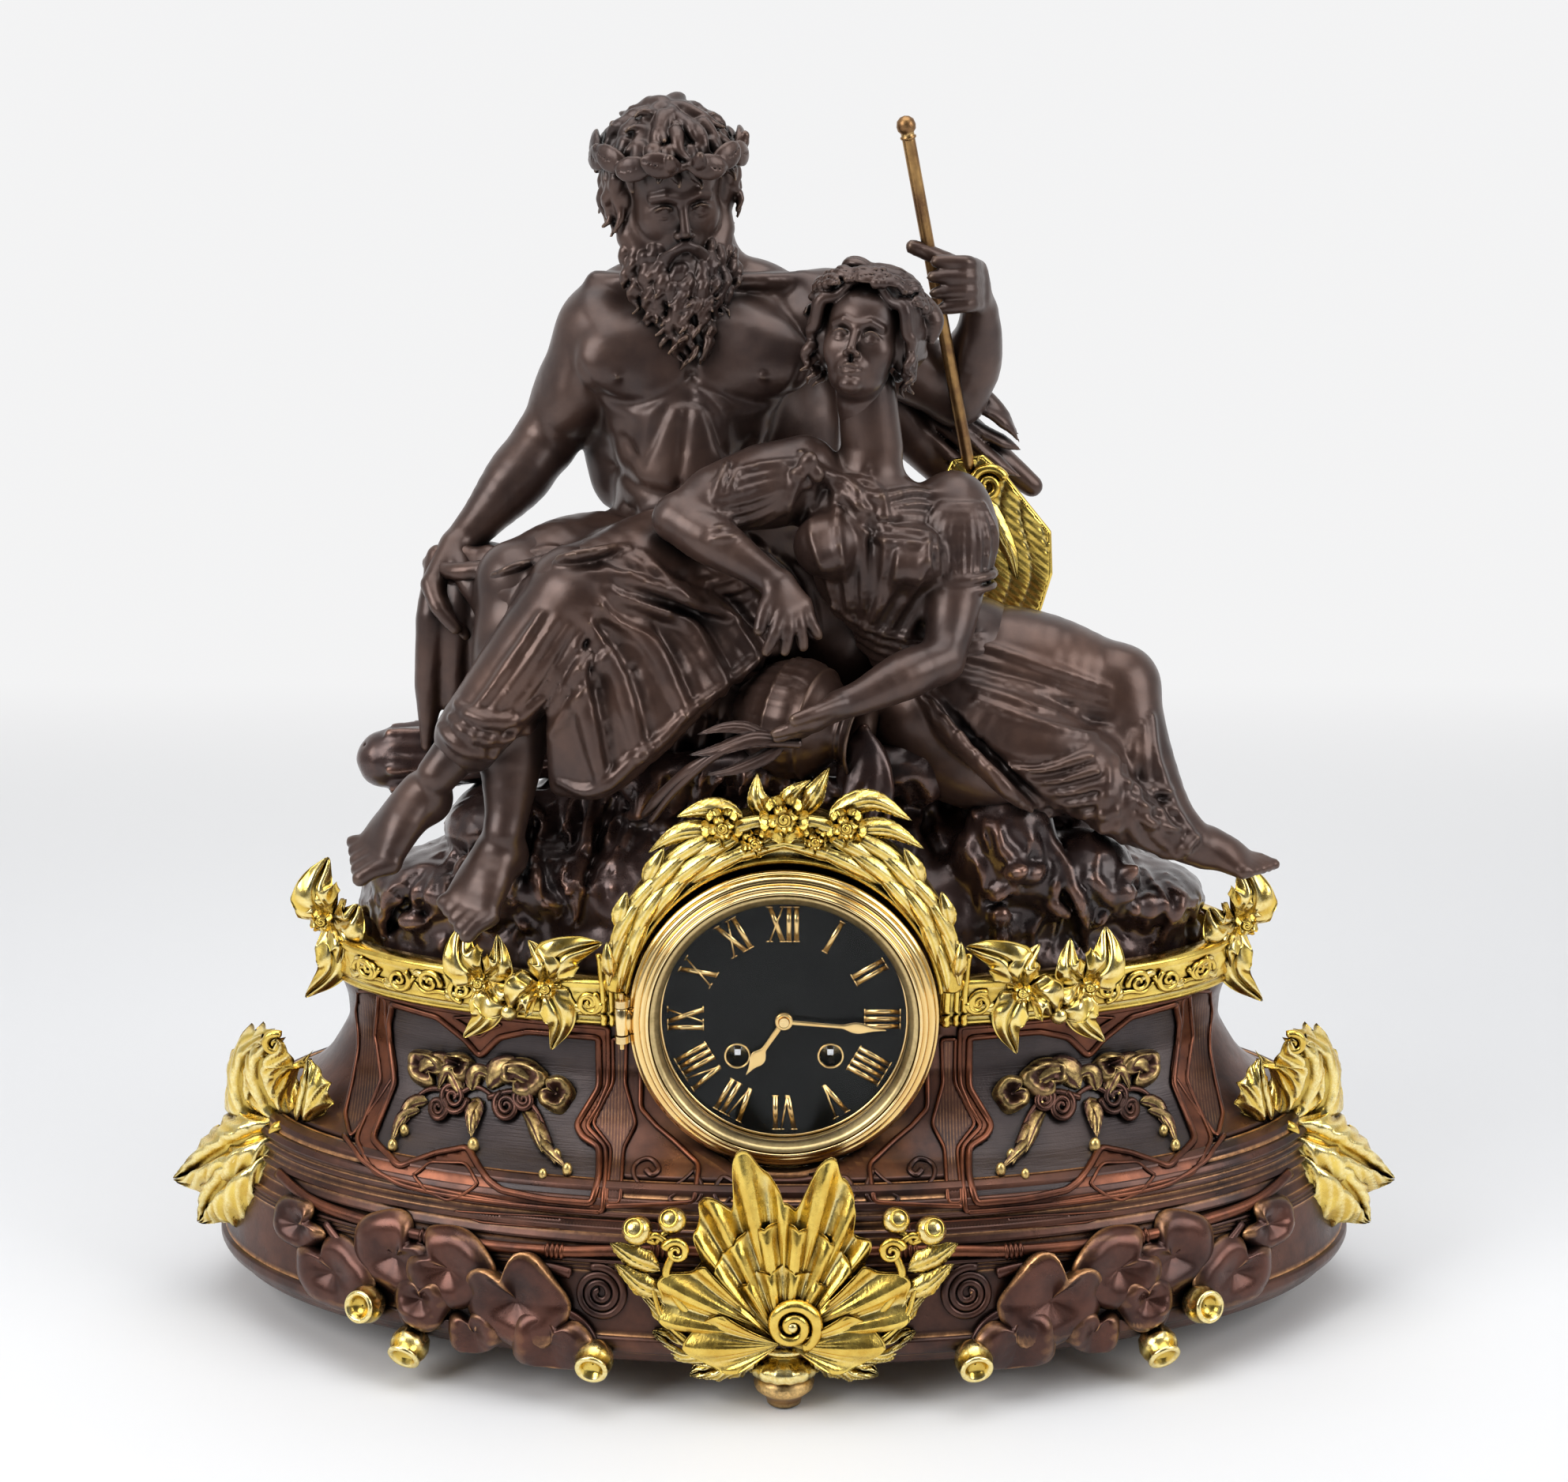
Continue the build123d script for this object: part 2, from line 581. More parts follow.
def make_dial():
    spots = [(-winding_x, -winding_drop), (winding_x, -winding_drop)]
    back = dial_front + dial_thickness
    dial = disc_y(dial_radius, dial_front, back)
    dial = dial - disc_y(2 * arbor_radius + 3 * fit_gap, dial_front - overrun, back + overrun)
    for x, z in spots:
        dial = dial - disc_y(key_hole_radius, dial_front - overrun, back + overrun, x, dial_height + z)
    parts["dial"] = dial.solid()
    parts["seat_ring"] = ring_y(seat_ring_radius, seat_ring_bore, back, back + seat_ring_depth).solid()
    step = (bezel_outer_radius - bezel_sight_radius) / 4
    y0 = dial_front - fit_gap
    profile = Polyline(
        (bezel_sight_radius, y0), (bezel_outer_radius, y0), (bezel_outer_radius, y0 - bezel_depth / 3),
        (bezel_outer_radius - step, y0 - bezel_depth / 2), (bezel_outer_radius - 2 * step, y0 - bezel_depth),
        (bezel_sight_radius + step, y0 - bezel_depth), (bezel_sight_radius, y0 - bezel_depth / 2), close=True)
    ring = revolve(Plane.XY * make_face(profile), Axis.Y)
    groove_front = y0 - 0.75 * bezel_depth
    ring = Pos(0, 0, dial_height) * ring
    glass_radius = bezel_sight_radius + step / 2
    seat = disc_y(glass_radius, groove_front, groove_front + glass_thickness)
    parts["bezel_glass"] = seat.solid()
    lug_x = -bezel_outer_radius - hinge_reach
    hinge = Pos(lug_x, y0 - hinge_reach, dial_height)
    lug = hinge * Cylinder(hinge_reach - fit_gap, hinge_length)
    web = hinge * Pos(hinge_reach, 0, 0) * Box(2 * hinge_reach, hinge_reach, hinge_length)
    ring = ring + lug + web - hinge * Cylinder(hinge_pin_radius + pivot_clearance, 2 * hinge_length)
    parts["bezel"] = largest(ring - seat)
    ear_step = hinge_length / 2 + fit_gap + hinge_reach / 2
    pin = hinge * Cylinder(hinge_pin_radius, hinge_length + 4 * hinge_reach)
    ears = []
    for side in (-1, 1):
        ear = hinge * Pos(0, 0, side * ear_step) * Cylinder(hinge_reach - fit_gap, hinge_reach)
        arm_start = y0 - hinge_reach
        arm_end = back + seat_ring_depth
        arm = Box(2 * hinge_reach, arm_end - arm_start, hinge_reach)
        arm = Pos(lug_x + hinge_reach, (arm_start + arm_end) / 2, dial_height + side * ear_step) * arm
        ears.append(ear + arm)
    bracket = ears[0] + ears[1] + pin
    foot_x = lug_x + hinge_reach
    back_bar = Box(3 * hinge_reach, seat_ring_depth, hinge_length + 2 * hinge_reach)
    back_bar = Pos(foot_x + hinge_reach / 2, back + seat_ring_depth / 2, dial_height) * back_bar
    bracket = bracket + back_bar - disc_y(seat_ring_radius, dial_front, 0)
    bracket = bracket - disc_y(bezel_outer_radius + fit_gap, y0 - 2 * bezel_depth, dial_front + fit_gap)
    bracket = largest(bracket)
    parts["seat_ring"] = (parts["seat_ring"] + bracket).solid()


def hand(length, width, hub):
    """A leaf-shaped hand on +Y with a round hub at the origin."""
    right = [(x * width, y * length) for x, y in hand_outline_shares]
    left = [(-x, y) for x, y in reversed(right[:-1])]
    leaf = extrude(make_face(Polyline(*right, *left, close=True)), amount=hand_thickness)
    return leaf + Cylinder(hub, hand_thickness, align=on_floor)


def arbor(radius, front, back, x, z):
    return disc_y(radius, front, back, x, dial_height + z)


def make_movement():
    plate_front = dial_front + dial_to_plate
    inside = plate_front + plate_thickness
    rear = inside + plate_spacing
    plate_back = rear + plate_thickness
    going = (winding_x, -winding_drop)
    strike = (-winding_x, -winding_drop)
    centre = (0.0, 0.0)
    barrel_reach = barrel_module * (barrel_teeth + big_pinion_leaves) / 2
    second_reach = second_module * (second_teeth + big_pinion_leaves) / 2
    centre_reach = centre_module * (centre_teeth + small_pinion_leaves) / 2
    third_reach = third_module * (third_teeth + small_pinion_leaves) / 2
    pin_reach = second_module * (pin_teeth + small_pinion_leaves) / 2
    lock_reach = lock_module * (lock_teeth + small_pinion_leaves) / 2
    second = meeting_point(going, barrel_reach, centre, second_reach, -1)
    escape = (0.0, pallet_height - 1.35 * escape_radius)
    third = meeting_point(centre, centre_reach, escape, third_reach, -1)
    pin_spot = polar(strike, barrel_reach, 80)
    lock = polar(pin_spot, pin_reach, 100)
    fly = polar(lock, lock_reach, 60)
    motion_reach = minute_module * (cannon_teeth + minute_teeth) / 2
    minute = polar(centre, motion_reach, 118)
    pallet = (0.0, pallet_height)
    spots = (going, strike, centre, second, third, escape, pin_spot, lock, fly, pallet, hammer_spot)

    pillars = []
    front_plate = disc_y(plate_radius, plate_front, inside)
    back_plate = disc_y(plate_radius, rear, plate_back)
    for angle in (33, 147, 260, 280):
        x, z = polar(centre, plate_radius - 2 * pillar_radius, angle)
        post = arbor(pillar_radius, inside, rear, x, z)
        post = post + arbor(pillar_radius / 2, plate_front, plate_back, x, z)
        pillars.append(post.solid())
        hole = arbor(pillar_radius / 2, plate_front - overrun, plate_back + overrun, x, z)
        front_plate = front_plate - hole
        back_plate = back_plate - hole
    for x, z in spots:
        reach = plate_front - overrun
        hole_radius = arbor_radius + pivot_clearance
        if (x, z) in (going, strike):
            hole_radius = 2 * arbor_radius + pivot_clearance
        hole = arbor(hole_radius, reach, plate_back + overrun, x, z)
        front_plate = front_plate - hole
        back_plate = back_plate - hole
    parts["front_plate"] = front_plate.solid()
    parts["back_plate"] = back_plate.solid()
    parts["plate_pillars"] = Compound(children=pillars)

    drum_front = dial_front + dial_thickness
    tube = ring_y(drum_radius, drum_radius - drum_wall, drum_front, drum_front + drum_length)
    ledge_bore = plate_radius - pillar_radius / 2
    ledge = ring_y(drum_radius - drum_wall, ledge_bore, plate_front - plate_thickness, plate_front)
    slot_back = drum_front + drum_length
    slot = Box(2 * pendulum_slot, pendulum_slot, 2 * pendulum_slot)
    slot = Pos(0, slot_back - pendulum_slot / 2, dial_height - drum_radius) * slot
    parts["drum"] = (tube + ledge - slot).solid()

    # Winding arbors turn inside the barrels; their squares stand behind the dial's key holes
    for name, spot in (("going", going), ("strike", strike)):
        x, z = spot
        shaft = arbor(2 * arbor_radius, plate_front - plate_thickness, plate_back, x, z)
        square = Box(square_side, square_length, square_side)
        square = Pos(x, plate_front - plate_thickness - square_length / 2, dial_height + z) * square
        parts[name + "_winding_arbor"] = (shaft + square).solid()
        bore = 2 * arbor_radius + pivot_clearance
        great = tooth_ring(barrel_teeth, barrel_module, addendum_share, wheel_thickness, bore)
        lead = bearing(spot, second if name == "going" else pin_spot)
        start = inside + barrel_station
        wheel = on_arbor(great, x, z, start, lead)
        wall = arbor(barrel_wall_radius, start, start + barrel_length, x, z) - arbor(bore, inside, rear, x, z)
        parts[name + "_barrel"] = (wheel + wall).solid()

    def arbor_set(spot, pinion, wheel, extra=None):
        """An arbor with its leaf pinion and its wheel, each given as teeth, module, front, turn and length."""
        x, z = spot
        shape = arbor(arbor_radius, plate_front, plate_back, x, z)
        for teeth, module, addendum, front, turn, length in (pinion, wheel):
            blank = tooth_ring(teeth, module, addendum, length, arbor_radius / 2)
            shape = shape + on_arbor(blank, x, z, front + length, turn)
        if extra:
            shape = shape + extra
        return shape.solid()

    low = inside + first_pinion_station
    deep = inside + train_station
    half_leaf_big = 180 / big_pinion_leaves
    half_leaf = 180 / small_pinion_leaves
    parts["second_wheel"] = arbor_set(
        second,
        (big_pinion_leaves, barrel_module, pinion_addendum_share, low,
         bearing(second, going) + half_leaf_big, first_pinion_length),
        (second_teeth, second_module, addendum_share, deep, bearing(second, centre), wheel_thickness))
    parts["centre_wheel"] = arbor_set(
        centre,
        (big_pinion_leaves, second_module, pinion_addendum_share, inside + train_pinion_station,
         bearing(centre, second) + half_leaf_big, pinion_length),
        (centre_teeth, centre_module, addendum_share, inside + centre_wheel_station,
         bearing(centre, third), wheel_thickness))
    parts["third_wheel"] = arbor_set(
        third,
        (small_pinion_leaves, centre_module, pinion_addendum_share, inside + third_pinion_station,
         bearing(third, centre) + half_leaf, pinion_length),
        (third_teeth, third_module, addendum_share, inside + third_wheel_station,
         bearing(third, escape), wheel_thickness))
    teeth = []
    for tooth in range(escape_teeth):
        angle = 360 * tooth / escape_teeth
        teeth.append(polar(centre, escape_radius, angle))
        teeth.append(polar(centre, 0.8 * escape_radius, angle + 0.15 * 360 / escape_teeth))
        teeth.append(polar(centre, 0.8 * escape_radius, angle + 0.75 * 360 / escape_teeth))
    escape_blank = extrude(make_face(Polyline(*teeth, close=True)), amount=wheel_thickness)
    x, z = escape
    pinion = tooth_ring(
        small_pinion_leaves, third_module, pinion_addendum_share, pinion_length, arbor_radius / 2)
    wheel = arbor(arbor_radius, plate_front, plate_back, x, z)
    wheel = wheel + on_arbor(pinion, x, z, inside + escape_pinion_back, bearing(escape, third) + half_leaf)
    wheel = wheel + on_arbor(escape_blank, x, z, inside + escape_wheel_back)
    parts["escape_wheel"] = wheel.solid()
    parts["pin_wheel"] = arbor_set(
        pin_spot,
        (big_pinion_leaves, barrel_module, pinion_addendum_share, low,
         bearing(pin_spot, strike) + half_leaf_big, first_pinion_length),
        (pin_teeth, second_module, addendum_share, deep, bearing(pin_spot, lock), wheel_thickness))
    parts["lock_wheel"] = arbor_set(
        lock,
        (small_pinion_leaves, second_module, pinion_addendum_share, inside + train_pinion_station,
         bearing(lock, pin_spot) + half_leaf, pinion_length),
        (lock_teeth, lock_module, addendum_share, inside + lock_wheel_station,
         bearing(lock, fly), wheel_thickness))
    fx, fz = fly
    blade = Box(fly_blade_width, fly_blade_length, fly_blade_thickness)
    blade = Pos(fx, inside + fly_blade_station, dial_height + fz) * blade
    fly_pinion = tooth_ring(
        small_pinion_leaves, lock_module, pinion_addendum_share, pinion_length, arbor_radius / 2)
    fly_arbor = arbor(arbor_radius, plate_front, plate_back, fx, fz) + blade
    lead = bearing(fly, lock) + half_leaf
    fly_arbor = fly_arbor + on_arbor(fly_pinion, fx, fz, inside + fly_pinion_back, lead)
    parts["fly"] = fly_arbor.solid()

    # Motion work between dial and front plate
    centre_bore = arbor_radius + pivot_clearance
    hour_bore = minute_pipe_radius + pivot_clearance
    motion_back = plate_front - motion_gap
    cannon_ring = tooth_ring(cannon_teeth, minute_module, pinion_addendum_share, pinion_length, centre_bore)
    cannon = on_arbor(cannon_ring, 0, 0, motion_back, bearing(centre, minute) + 180 / cannon_teeth)
    pipe_front = dial_front - minute_pipe_rise
    pipe = ring_y(minute_pipe_radius, centre_bore, pipe_front, motion_back)
    minute_blade = hand(minute_hand_length, minute_hand_width, minute_hub_radius)
    minute_hand = on_arbor(minute_blade, 0, 0, dial_front - minute_blade_rise, minute_turn)
    minute_hand = minute_hand - disc_y(centre_bore, pipe_front - overrun, 0)
    cap_front = dial_front - hand_cap_rise
    cap = disc_y(hand_cap_radius, cap_front, cap_front + hand_cap_height)
    parts["minute_hand"] = (minute_hand + pipe + cannon + cap).solid()
    wheel_ring = tooth_ring(minute_teeth, minute_module, addendum_share, wheel_thickness, centre_bore)
    stud_ring = tooth_ring(
        minute_pinion_leaves, hour_module, pinion_addendum_share, first_pinion_length, centre_bore)
    lead = bearing(minute, centre)
    minute_wheel = on_arbor(wheel_ring, *minute, motion_back - minute_wheel_step, lead)
    minute_wheel = minute_wheel + on_arbor(stud_ring, *minute, motion_back - minute_pinion_step, lead)
    parts["minute_wheel"] = minute_wheel.solid()
    stud = arbor(arbor_radius, motion_back - stud_length, inside, *minute)
    parts["front_plate"] = (parts["front_plate"] + stud).solid()
    hour_ring = tooth_ring(hour_teeth, hour_module, addendum_share, wheel_thickness, hour_bore)
    lead = bearing(centre, minute) + 180 / hour_teeth
    hour_wheel = on_arbor(hour_ring, 0, 0, motion_back - hour_wheel_step, lead)
    hour_pipe = ring_y(hour_pipe_radius, hour_bore, dial_front - hour_pipe_rise, motion_back - hour_pipe_step)
    hour_blade = hand(hour_hand_length, hour_hand_width, hour_hub_radius)
    hour_blade = on_arbor(hour_blade, 0, 0, dial_front - hour_blade_rise, hour_turn)
    hour_blade = hour_blade - disc_y(hour_bore, dial_front - hand_cap_rise - overrun, 0)
    parts["hour_hand"] = (hour_wheel + hour_pipe + hour_blade).solid()
    make_escapement(plate_front, inside, rear, plate_back)
    make_bell(plate_front, plate_back)


def make_escapement(plate_front, inside, rear, plate_back):
    """Behind the plates the anchor, the crutch and the pendulum share the line of the suspension."""
    top = dial_height + pallet_height
    anchor = arbor(arbor_radius, plate_front, plate_back + anchor_arbor_reach, 0, pallet_height)
    for side in (-1, 1):
        arm = Box(anchor_arm_length, anchor_arm_thickness, anchor_arm_height)
        spot = Pos(side * anchor_arm_side, inside + anchor_back, top - anchor_arm_drop)
        anchor = anchor + spot * Rot(0, side * anchor_arm_slope, 0) * arm
    crutch_y = plate_back + crutch_setback
    crutch = Pos(0, crutch_y, top - crutch_length / 2) * Box(crutch_width, crutch_thickness, crutch_length)
    fork = Pos(0, crutch_y + fork_length / 2, top - fork_drop) * Box(fork_width, fork_length, fork_height)
    slot_y = plate_back + pendulum_setback
    slot = Pos(0, slot_y, top - fork_drop) * Box(fork_gap, fork_length, 2 * fork_height)
    parts["anchor_crutch"] = (anchor + crutch + fork - slot).solid()
    rod_y = plate_back + pendulum_setback
    rod_length = pendulum_length - rod_drop
    rod = Pos(0, rod_y, top - rod_drop - rod_length / 2) * Cylinder(rod_radius, rod_length)
    bob_front = rod_y - bob_thickness / 2
    bob = disc_y(bob_radius, bob_front, bob_front + bob_thickness, 0, top - pendulum_length)
    block = Box(spring_block_width, crutch_width, spring_block_height)
    block = Pos(0, rod_y, top - rod_drop + spring_block_rise) * block
    spring = Pos(0, rod_y, top - spring_height / 2) * Box(spring_width, spring_thickness, spring_height)
    parts["pendulum"] = (rod + bob + block + spring).solid()
    cock = Pos(0, plate_back + cock_length / 2, top + cock_rise) * Box(cock_width, cock_length, cock_height)
    cheek = Pos(0, rod_y, top + cheek_rise) * Box(cheek_width, cheek_height, cheek_height)
    foot = Box(cock_foot_width, crutch_width, cock_foot_height)
    foot = Pos(0, plate_back + crutch_width / 2, top) * foot
    foot = foot - disc_y(arbor_radius + fit_gap, rear, plate_back + cock_length, 0, top)
    parts["suspension_cock"] = largest(cock + cheek + foot)


def make_bell(plate_front, plate_back):
    """A bell on a cranked post behind the movement, and the hammer that strikes it."""
    bell_y = plate_back + bell_setback
    bell_z = dial_height - bell_drop
    middle = Pos(0, bell_y, bell_z)
    cup = middle * Sphere(bell_radius) - middle * Sphere(bell_radius - bell_wall)
    cup = cup & Pos(0, bell_y + bell_radius, bell_z) * Box(4 * bell_radius, 2 * bell_radius, 4 * bell_radius)
    bell_top = bell_y + bell_radius
    cup = cup - disc_y(bell_post_radius, bell_y, bell_top + bell_radius, 0, bell_z)
    parts["bell"] = cup.solid()
    crank = bell_y + bell_radius / 2
    low_post = disc_y(bell_post_radius, plate_back, crank + bell_post_radius, bell_post_side, bell_z)
    bar = Box(bell_bar_length, 2 * bell_post_radius, 2 * bell_post_radius)
    bar = Pos(bell_post_side / 2, crank, bell_z) * bar
    post = disc_y(bell_post_radius, crank - bell_post_radius, bell_top + bell_post_overhang, 0, bell_z)
    nut = disc_y(bell_nut_radius, bell_top, bell_top + bell_nut_height, 0, bell_z)
    inner_nut = disc_y(bell_nut_radius, crank, bell_top, 0, bell_z)
    parts["bell_stand"] = largest((low_post + bar + post + nut + inner_nut) - parts["bell"])
    hx, hz = hammer_spot
    hammer_y = plate_back + hammer_setback
    hammer = arbor(arbor_radius, plate_front, hammer_y, hx, hz)
    arm_length = hz + hammer_arm_overhang
    arm = Box(hammer_arm_side, hammer_arm_side, arm_length)
    hammer = hammer + Pos(hx, hammer_y, dial_height + hz - arm_length / 2) * arm
    head_x = -bell_radius - hammer_gap - hammer_head_length / 2
    head = Rot(0, 90, 0) * Cylinder(hammer_head_radius, hammer_head_length)
    head = Pos(head_x, hammer_y, dial_height + hz - arm_length) * head
    parts["hammer"] = (hammer + head).solid()


def make_rear_door():
    """The rear ring in the back of the case and the round door hinged on it."""
    flange_back = rear_face + rear_flange
    ring = ring_y(rear_opening_radius, rear_ring_bore, rear_face - rear_ring_depth, rear_face)
    ring = ring + ring_y(rear_ring_radius, rear_ring_bore, rear_face, flange_back)
    door_front = flange_back + fit_gap
    door_back = door_front + door_thickness
    x = -rear_ring_radius - hinge_reach
    y = door_front + hinge_reach
    ear_step = hinge_length / 2 + fit_gap + hinge_reach / 2
    ears = Pos(x, y, dial_height) * Cylinder(hinge_pin_radius, hinge_length + 4 * hinge_reach)
    for side in (-1, 1):
        z = dial_height + side * ear_step
        ears = ears + Pos(x, y, z) * Cylinder(hinge_reach - fit_gap, hinge_reach)
        ears = ears + Pos(x, (y + rear_face) / 2, z) * Box(hinge_reach, y - rear_face, hinge_reach)
        tab = Box(3 * hinge_reach, rear_flange, hinge_reach)
        ears = ears + Pos(x + hinge_reach, rear_face + rear_flange / 2, z) * tab
    parts["rear_ring"] = largest(ring + (ears - disc_y(rear_ring_bore, 0, flange_back)))
    door = disc_y(rear_ring_radius - hinge_reach / 2, door_front, door_back)
    lug = Pos(x, y, dial_height) * Cylinder(hinge_reach - fit_gap, hinge_length)
    web = Box(4 * hinge_reach - 2 * fit_gap, door_thickness, hinge_length)
    web = Pos(x + hinge_reach, door_front + door_thickness / 2, dial_height) * web
    knob_x = rear_ring_bore - door_knob_inset
    neck = disc_y(door_neck_radius, door_front, door_back + door_neck_depth, knob_x)
    knob = neck + disc_y(door_knob_radius, door_back, door_back + door_knob_depth, knob_x)
    bore = Pos(x, y, dial_height) * Cylinder(hinge_pin_radius + pivot_clearance, 2 * hinge_length)
    parts["rear_door"] = largest(door + lug + web + knob - bore)


def make_straps():
    parts["movement_straps"] = Compound(children=[strap(-1).solid(), strap(1).solid()])


# Sculpture


def headband(outline_shares, place_share, tilt):
    """A ring round a head: a small outline turned about the head's own upright line."""
    points = [(radius * part, height * part) for radius, height in outline_shares]
    ring = revolve(Plane.XZ * make_face(Polyline(*points, close=True)), Axis.Z)
    return Pos(*place(place_share)) * Rot(tilt, 0, 0) * ring


def make_god():
    rock = parts["rock_mound"]
    torso = seated(chain(god_torso_shares), rock)
    parts["god_torso"] = torso
    head = chain(god_head_shares) + chain(god_beard_shares)
    wreath = headband(god_wreath_shares, god_wreath_place_share, god_wreath_tilt)
    parts["god_head"] = seated(head + wreath, torso)
    oar = make_oar()
    arm = chain(god_upper_arm_shares) + chain(god_forearm_shares)
    parts["god_right_arm"] = seated(arm, torso)
    left = chain(god_left_upper_arm_shares) + chain(god_left_forearm_shares)
    parts["god_left_arm"] = seated(left, torso, oar)
    right_leg = chain(god_right_thigh_shares) + chain(god_right_shin_shares)
    right_leg = seated(right_leg, torso, rock)
    left_leg = chain(god_left_thigh_shares) + chain(god_left_shin_shares)
    left_leg = seated(left_leg, torso, right_leg, rock)
    parts["god_legs"] = Compound(children=[right_leg, left_leg])
    cloth = chain(god_lap_cloth_shares) + chain(god_side_cloth_shares)
    cloth = seated(cloth, rock, parts["tree_stump"], torso, right_leg, left_leg, parts["god_right_arm"])
    mantle = seated(chain(god_mantle_shares, side=Vector(0, 0, 1)), torso, parts["god_left_arm"], oar)
    parts["god_drapery"] = Compound(children=[cloth, mantle])


def make_oar():
    top = place(oar_top_share)
    shoulder = place(oar_shoulder_share)
    along = (shoulder - top)
    length = along.length + oar_tenon
    plane = Plane(origin=top, z_dir=along.normalized())
    shaft = extrude(plane * Circle(oar_shaft_radius), amount=length)
    outline = [(radius * oar_shaft_radius, height * oar_shaft_radius) for radius, height in oar_knob_shares]
    turned = revolve(Plane.XZ * make_face(Polyline(*outline, close=True)), Axis.Z)
    oar = shaft + plane * turned
    points = [(shoulder.X + x * part, shoulder.Z + z * part) for x, z in oar_blade_shares]
    back = shoulder.Y + oar_blade_thickness / 2
    blade = Plane((0, back, 0), x_dir=(1, 0, 0), z_dir=(0, -1, 0)) * make_face(Polyline(*points, close=True))
    blade = extrude(blade, amount=oar_blade_thickness)
    parts["oar"] = largest(oar + blade)
    return parts["oar"]


def make_nymph():
    rock = parts["rock_mound"]
    god = [parts[name] for name in ("god_torso", "god_drapery", "god_legs", "god_left_arm", "oar")]
    torso = seated(chain(nymph_torso_shares), rock, *god)
    parts["nymph_torso"] = torso
    head = chain(nymph_head_shares)
    head = head + headband(nymph_band_shares, nymph_band_place_share, nymph_band_tilt)
    parts["nymph_head"] = seated(head, torso, parts["god_torso"])
    right = chain(nymph_right_arm_shares) + chain(nymph_right_forearm_shares)
    parts["nymph_right_arm"] = seated(right, torso, *god)
    left = chain(nymph_left_arm_shares) + chain(nymph_left_forearm_shares)
    parts["nymph_left_arm"] = seated(left, torso, parts["oar"])
    skirt = chain(nymph_skirt_shares) + chain(nymph_hem_shares) + chain(nymph_shin_shares)
    parts["nymph_skirt"] = seated(skirt, rock, torso, parts["oar"], parts["nymph_left_arm"])


def make_urn():
    rock = parts["rock_mound"]
    centre = place(urn_place_share)
    direction = Vector(*urn_direction_share).normalized()
    outline = Polyline(*[(radius * part, along * part) for along, radius in urn_profile_shares], close=True)
    turned = revolve(Plane.XZ * make_face(outline), Axis.Z)
    urn = Plane(origin=centre, z_dir=direction) * turned
    names = ("god_drapery", "god_legs", "nymph_torso", "nymph_skirt", "nymph_left_arm", "nymph_right_arm")
    parts["urn"] = seated(urn, rock, *[parts[name] for name in names])
    water = chain(water_shares)
    parts["water_stream"] = seated(water, rock, parts["urn"], parts["nymph_skirt"], parts["nymph_left_arm"])
    reed = chain(reed_shares, side=Vector(0, 0, 1))
    parts["reed_branch"] = seated(reed, parts["nymph_left_arm"], parts["urn"])


# Gilt mounts


def outward(x, level, stack_share):
    """The point and the outward direction of the case's front at a distance x from the middle."""
    half_width = base_half_width + plinth_spread * stack_share
    half_depth = base_half_depth + plinth_depth_spread * stack_share
    y = -half_depth * sqrt(1 - (x / half_width) ** 2)
    normal = Vector(x / half_width ** 2, y / half_depth ** 2, 0).normalized()
    return Vector(x, y, level), normal


def petal(angle):
    points = [(along * petal_length, across * petal_width) for along, across in petal_outline_shares]
    return Rot(0, 0, angle) * extrude(make_face(Polyline(*points, close=True)), amount=petal_thickness)


def make_flowers():
    """Petals stand clear of the frieze, and the berry's stem is let into it."""
    clusters = []
    for x_share, z_share in flower_place_shares:
        spot, normal = outward(x_share * part, z_share * part, frieze_reach / plinth_spread)
        across = Vector(0, 0, 1).cross(normal)
        flower = Pos(0, 0, -berry_stem) * Cylinder(berry_radius, berry_depth + berry_stem, align=on_floor)
        for turn in petal_angle_shares:
            flower = flower + petal(360 * turn)
        plane = Plane(origin=spot + normal * fit_gap, x_dir=across, z_dir=normal)
        clusters.append(seated(plane * flower, parts["top_frieze"], parts["rock_mound"], parts["case_body"]))
    parts["frieze_flowers"] = Compound(children=clusters)


def make_plinth_trim():
    leaves = []
    for x_share, z_share in leaf_place_shares:
        spot, normal = outward(x_share * part, z_share * part, leaf_spread_share)
        across = Vector(0, 0, 1).cross(normal)
        plane = Plane(origin=spot - normal * leaf_thickness / 2, x_dir=across, z_dir=normal)
        leaf = plane * extrude(Circle(leaf_radius), amount=2 * leaf_thickness)
        leaves.append(seated(leaf, parts["plinth"]))
    parts["plinth_leaves"] = Compound(children=leaves)
    buds = []
    outline = [(radius * bud_radius, height * bud_radius) for radius, height in bud_outline_shares]
    bud = revolve(Plane.XZ * make_face(Polyline(*outline, close=True)), Axis.Z)
    for x_share, z_share in bud_place_shares:
        spot, normal = outward(x_share * part, z_share * part, bud_spread_share)
        plane = Plane(origin=spot + normal * bud_radius / 2, z_dir=normal)
        buds.append(seated(plane * bud, parts["plinth"], parts["plinth_leaves"], parts["shell_mount"]))
    parts["plinth_buds"] = Compound(children=buds)


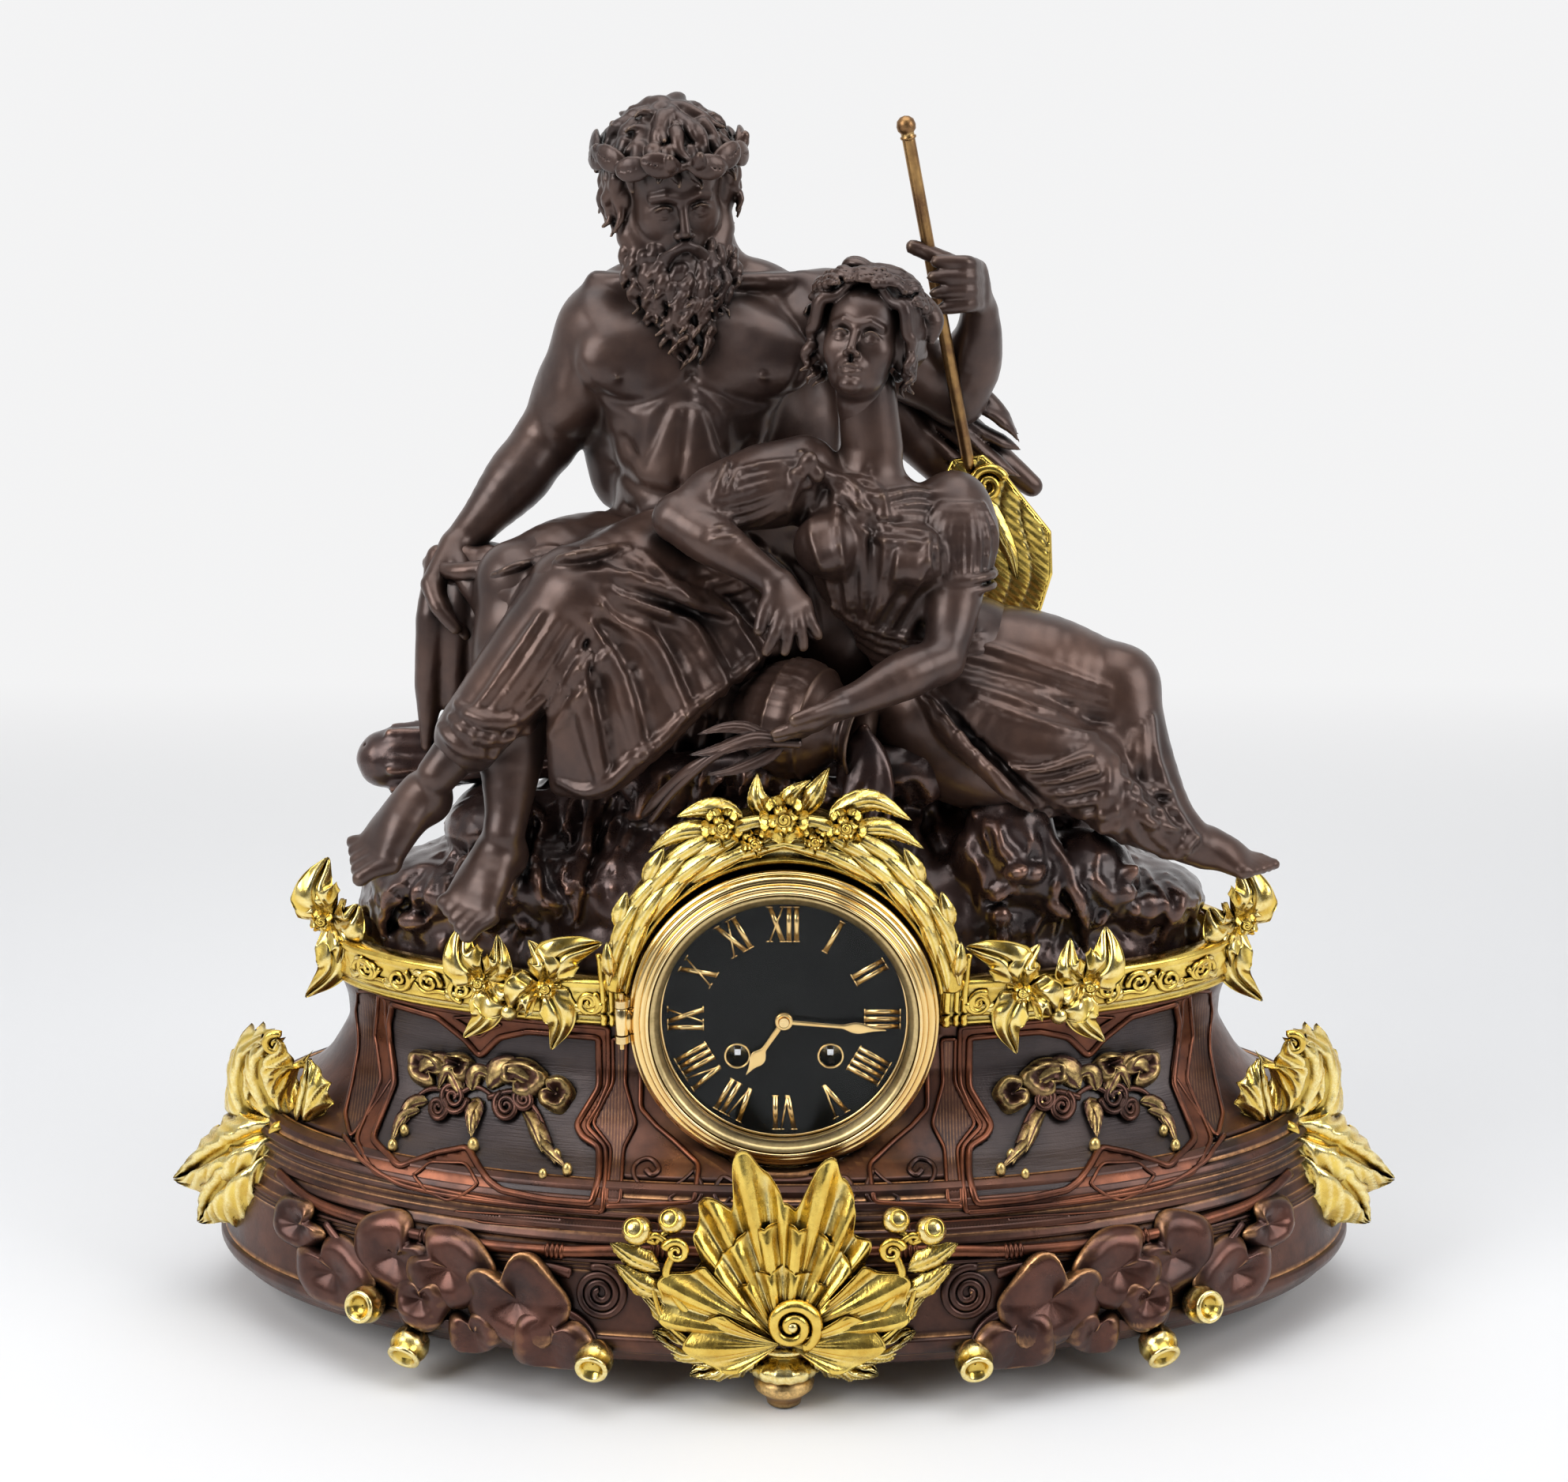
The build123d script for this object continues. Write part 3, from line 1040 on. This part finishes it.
def make_shell():
    spot, normal = outward(0, shell_foot_level, 1.0)
    points = [(x * part, z * part) for x, z in shell_outline_shares]
    fan = extrude(make_face(Polyline(*points, close=True)), amount=shell_thickness)
    plane = Plane(origin=spot - normal * shell_set_in, x_dir=(1, 0, 0), z_dir=normal)
    boss = Cone(whorl_radius, whorl_radius / 2, whorl_relief + overrun, align=on_floor)
    whorl = Pos(0, whorl_height, shell_thickness - overrun) * boss
    shell = plane * (fan + whorl)
    parts["shell_mount"] = seated(shell, parts["plinth"], parts["case_body"], parts["bezel"], parts["feet"])


def make_corner_leaves():
    across = Vector(0, 1, 0)
    leaf = chain(acanthus_shares, floor_place, across) + chain(acanthus_fall_shares, floor_place, across)
    leaves = []
    for curl in (leaf, mirror(leaf, Plane.YZ)):
        leaves.append(seated(curl, parts["case_body"], parts["plinth"]))
    parts["corner_leaves"] = Compound(children=leaves)


def make_sprays():
    sprays = []
    for x_middle in spray_places_share:
        rows = []
        for step, rise in spray_steps_shares:
            x = x_middle * part + step * spray_width / 2
            spot, normal = outward(x, spray_level, 0.0)
            half_height = rise * spray_height / part
            rows.append((spot.X / part, spot.Y / part, spray_level / part, spray_relief / part, half_height))
        sprays.append(seated(chain(rows, floor_place, Vector(0, 1, 0)), parts["case_body"]))
    parts["panel_sprays"] = Compound(children=sprays)


def make_arch():
    back = arch_front + arch_depth
    arch = ring_y(arch_outer_radius, bezel_outer_radius + fit_gap, arch_front, back)
    above = Box(4 * arch_outer_radius, 8 * arch_outer_radius, 4 * arch_outer_radius, align=on_floor)
    arch = arch & Pos(0, 0, case_top) * above
    level = arch_outer_radius - crown_tip / 4
    points = [(x * crown_tip, level + z * crown_tip) for x, z in crown_shares]
    plane = Plane((0, arch_front + arch_depth / 3, dial_height), x_dir=(1, 0, 0), z_dir=(0, -1, 0))
    arch = arch + extrude(plane * make_face(Polyline(*points, close=True)), amount=arch_depth / 3)
    names = ("rock_mound", "top_frieze", "case_body", "god_drapery", "water_stream", "god_legs", "urn",
             "nymph_skirt", "reed_branch", "frieze_flowers")
    parts["dial_arch"] = seated(arch, *[parts[name] for name in names])


def build():
    make_case()
    make_feet()
    make_rock()
    make_dial()
    make_movement()
    make_rear_door()
    make_straps()
    make_god()
    make_nymph()
    make_urn()
    make_flowers()
    make_shell()
    make_plinth_trim()
    make_corner_leaves()
    make_sprays()
    make_arch()


build()
os.makedirs("parts", exist_ok=True)
for node, shape in parts.items():
    export_step(shape, f"parts/{node}.step")
